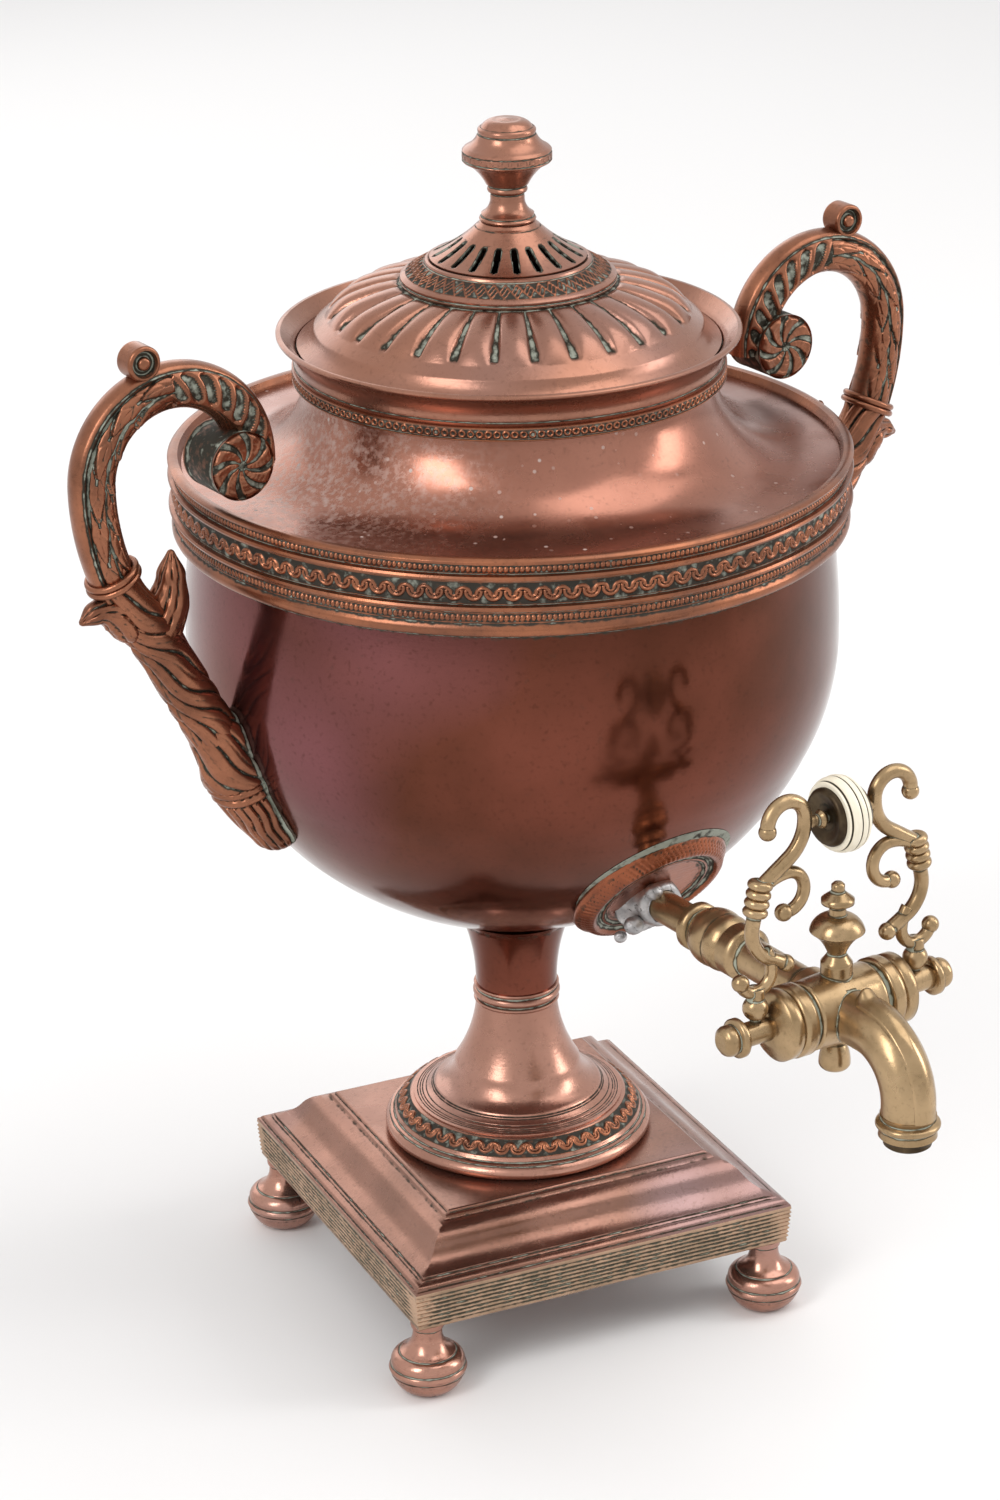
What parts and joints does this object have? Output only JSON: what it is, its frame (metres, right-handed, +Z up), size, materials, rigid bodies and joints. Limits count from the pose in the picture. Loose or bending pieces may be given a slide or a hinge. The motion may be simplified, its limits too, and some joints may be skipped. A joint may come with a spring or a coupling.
{
  "type": "tea urn",
  "caption": "Classical copper tea urn on a square plinth, with two scrolled handles, a lift-off vented lid, a heater sleeve with an iron inside, and a brass tap with a scrolled lever.",
  "frame": {"origin": "on the table, under the urn's axis", "axes": "+Z up along the urn's axis; the tap points along -Y and the handles lie along X. The plinth and feet are turned 9 degrees about Z"},
  "size_m": [0.3392, 0.3497, 0.4321],
  "materials": {
    "copper_bowl": "satin polished copper with brown and purple patina",
    "copper_shoulder": "lighter brown-pink copper, satin",
    "copper_band": "copper with dark recesses and verdigris",
    "copper_lid": "satin copper with verdigris in the recesses",
    "copper_pedestal": "satin copper",
    "copper_plinth": "satin brown copper",
    "fascia_metal": "dull brass-brown with verdigris",
    "copper_foot": "polished brown copper",
    "copper_handle": "cast copper, brown, with verdigris in the carving",
    "tinned_copper": "tinned copper",
    "iron": "dark iron",
    "escutcheon_copper": "bright copper rim with verdigris",
    "solder": "grey soft solder",
    "brass": "golden brown brass, satin, with dark recesses",
    "dark_brass": "blackened brass",
    "bone": "cream turned bone"
  },
  "bodies": {
    "root": {"bowl": "copper_bowl", "stem_bell": "copper_bowl", "waist_bead": "copper_bowl", "shoulder": "copper_shoulder", "neck_band": "copper_shoulder", "mouth_rim": "copper_shoulder", "body_band": "copper_band", "pedestal_trumpet": "copper_pedestal", "pedestal_ring": "copper_pedestal", "plinth_top": "copper_plinth", "plinth_fascia": "fascia_metal", "foot_front_left": "copper_foot", "foot_front_right": "copper_foot", "foot_rear_left": "copper_foot", "foot_rear_right": "copper_foot", "handle_scroll_left": "copper_handle", "handle_scroll_right": "copper_handle", "handle_leaf_left": "copper_handle", "handle_leaf_right": "copper_handle", "handle_rivets": "copper_handle", "heater_sleeve": "tinned_copper", "corner_plates": "iron", "foot_nuts": "iron", "tap_escutcheon": "escutcheon_copper", "tap_solder": "solder", "tap_tail": "brass", "tap_body": "brass", "barrel_cap_left": "brass", "barrel_cap_right": "brass", "tap_finial": "brass", "tap_pendant": "brass", "spout_nozzle": "brass", "spout_outlet": "dark_brass"},
    "lid": {"lid_dome": "copper_lid", "lid_bezel": "copper_lid", "lid_vent_ring": "copper_lid", "lid_vent_cone": "copper_lid", "lid_knob": "copper_lid", "knob_nut": "iron"},
    "sleeve_cap": {"sleeve_cap": "tinned_copper"},
    "heater_iron": {"heater_iron": "iron"},
    "tap_lever": {"tap_plug": "brass", "lever_arm_left": "brass", "lever_arm_right": "brass", "shaft_knob_left": "brass", "shaft_knob_right": "brass", "grip_spindle": "brass", "grip_disc": "bone", "grip_cap_left": "brass", "grip_cap_right": "brass"}
  },
  "joints": [
    {"name": "lid_lift", "type": "slide", "parent": "root", "child": "lid", "axis": [0, 0, 1], "range_m": [0, 0.15]},
    {"name": "sleeve_cap_lift", "type": "slide", "parent": "root", "child": "sleeve_cap", "axis": [0, 0, 1], "range_m": [0, 0.05]},
    {"name": "iron_lift", "type": "slide", "parent": "root", "child": "heater_iron", "axis": [0, 0, 1], "range_m": [0, 0.012]},
    {"name": "tap_turn", "type": "hinge", "parent": "root", "child": "tap_lever", "pos_m": [0, -0.184, 0.17832], "axis": [1, 0, 0], "range_deg": [0, 90]}
  ]
}
